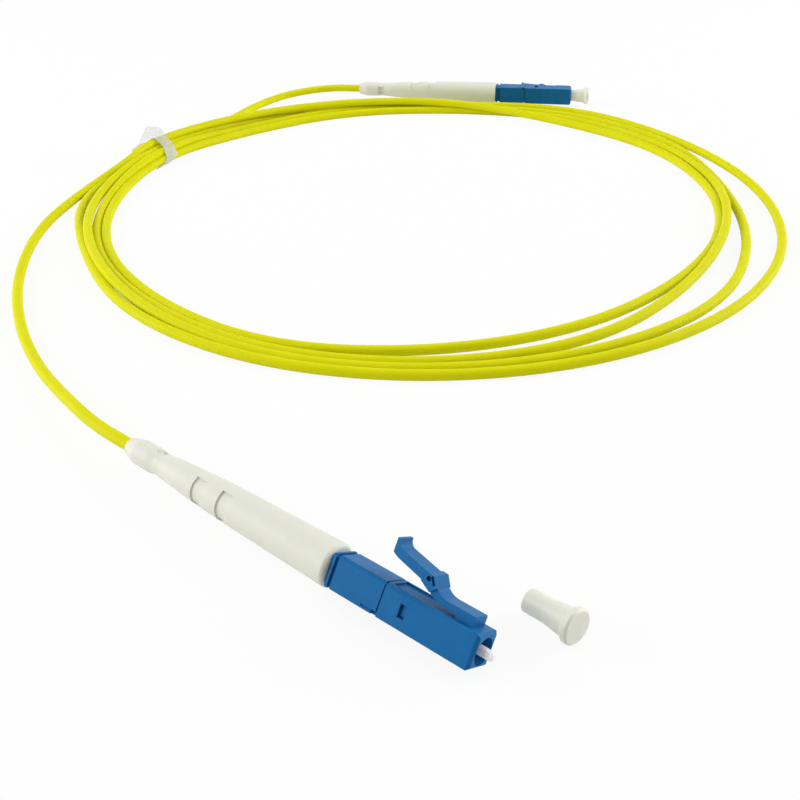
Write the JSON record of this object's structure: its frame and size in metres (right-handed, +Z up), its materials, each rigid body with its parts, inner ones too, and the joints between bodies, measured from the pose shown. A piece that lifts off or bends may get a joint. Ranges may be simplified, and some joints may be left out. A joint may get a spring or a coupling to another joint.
{
  "type": "fibre optic patch cable",
  "caption": "Coiled yellow fibre optic patch cable with a blue latching plug, white boot and dust cap at each end, tied in a ring and ready to plug into an adaptor.",
  "frame": {"origin": "Middle of plug A's front face, on the axis of its ferrule; the floor is 3.05 mm below it.", "axes": "+X points out of plug A along its ferrule, +Y towards the coil, +Z up."},
  "size_m": [0.1858, 0.2038, 0.0102],
  "materials": {
    "blue_plastic": "moulded, satin",
    "zirconia": "polished white ceramic",
    "steel": "plain",
    "fibre_buffer": "smooth",
    "plated_brass": "nickel plated",
    "aramid_yarn": "combed yarn",
    "boot_elastomer": "moulded, matt",
    "cap_plastic": "moulded, soft",
    "cable_jacket": "extruded, satin",
    "tie_film": "milky film"
  },
  "bodies": {
    "cable": {"front_housing_a": "blue_plastic", "rear_body_a": "blue_plastic", "ferrule_spring_a": "steel", "crimp_post_a": "plated_brass", "yarn_sleeve_a": "aramid_yarn", "crimp_ring_a": "plated_brass", "boot_a": "boot_elastomer", "dust_cap_a": "cap_plastic", "front_housing_b": "blue_plastic", "rear_body_b": "blue_plastic", "ferrule_spring_b": "steel", "crimp_post_b": "plated_brass", "yarn_sleeve_b": "aramid_yarn", "crimp_ring_b": "plated_brass", "boot_b": "boot_elastomer", "cable_tail_a": "cable_jacket", "cable_coil": "cable_jacket", "cable_tail_b": "cable_jacket", "cable_tie": "tie_film"},
    "latch_a": {"latch_lever_a": "blue_plastic"},
    "latch_b": {"latch_lever_b": "blue_plastic"},
    "ferrule_a": {"ferrule_a": "zirconia", "ferrule_flange_a": "steel", "buffered_fibre_a": "fibre_buffer"},
    "ferrule_b": {"ferrule_b": "zirconia", "ferrule_flange_b": "steel", "buffered_fibre_b": "fibre_buffer"},
    "cap_b": {"dust_cap_b": "cap_plastic"}
  },
  "joints": [
    {"name": "latch_a", "type": "hinge", "parent": "cable", "child": "latch_a", "pos_m": [-0.0041, 0.00135, 0.00225], "axis": [0, -0.8572, 0.515], "range_deg": [0, 12], "stiffness_Nm_per_rad": 0.2},
    {"name": "latch_b", "type": "hinge", "parent": "cable", "child": "latch_b", "pos_m": [-0.11417, 0.19606, 0], "axis": [0, 0, 1], "range_deg": [0, 12], "stiffness_Nm_per_rad": 0.2},
    {"name": "ferrule_a", "type": "slide", "parent": "cable", "child": "ferrule_a", "axis": [-1, 0, 0], "range_m": [0, 0.0009], "stiffness_N_per_m": 1000, "deforming": ["ferrule_spring_a"]},
    {"name": "ferrule_b", "type": "slide", "parent": "cable", "child": "ferrule_b", "axis": [-0.8387, -0.5446, 0], "range_m": [0, 0.0009], "stiffness_N_per_m": 1000, "deforming": ["ferrule_spring_b"]},
    {"name": "cap_b", "type": "slide", "parent": "cable", "child": "cap_b", "axis": [0.8387, 0.5446, 0], "range_m": [0, 0.01]}
  ]
}
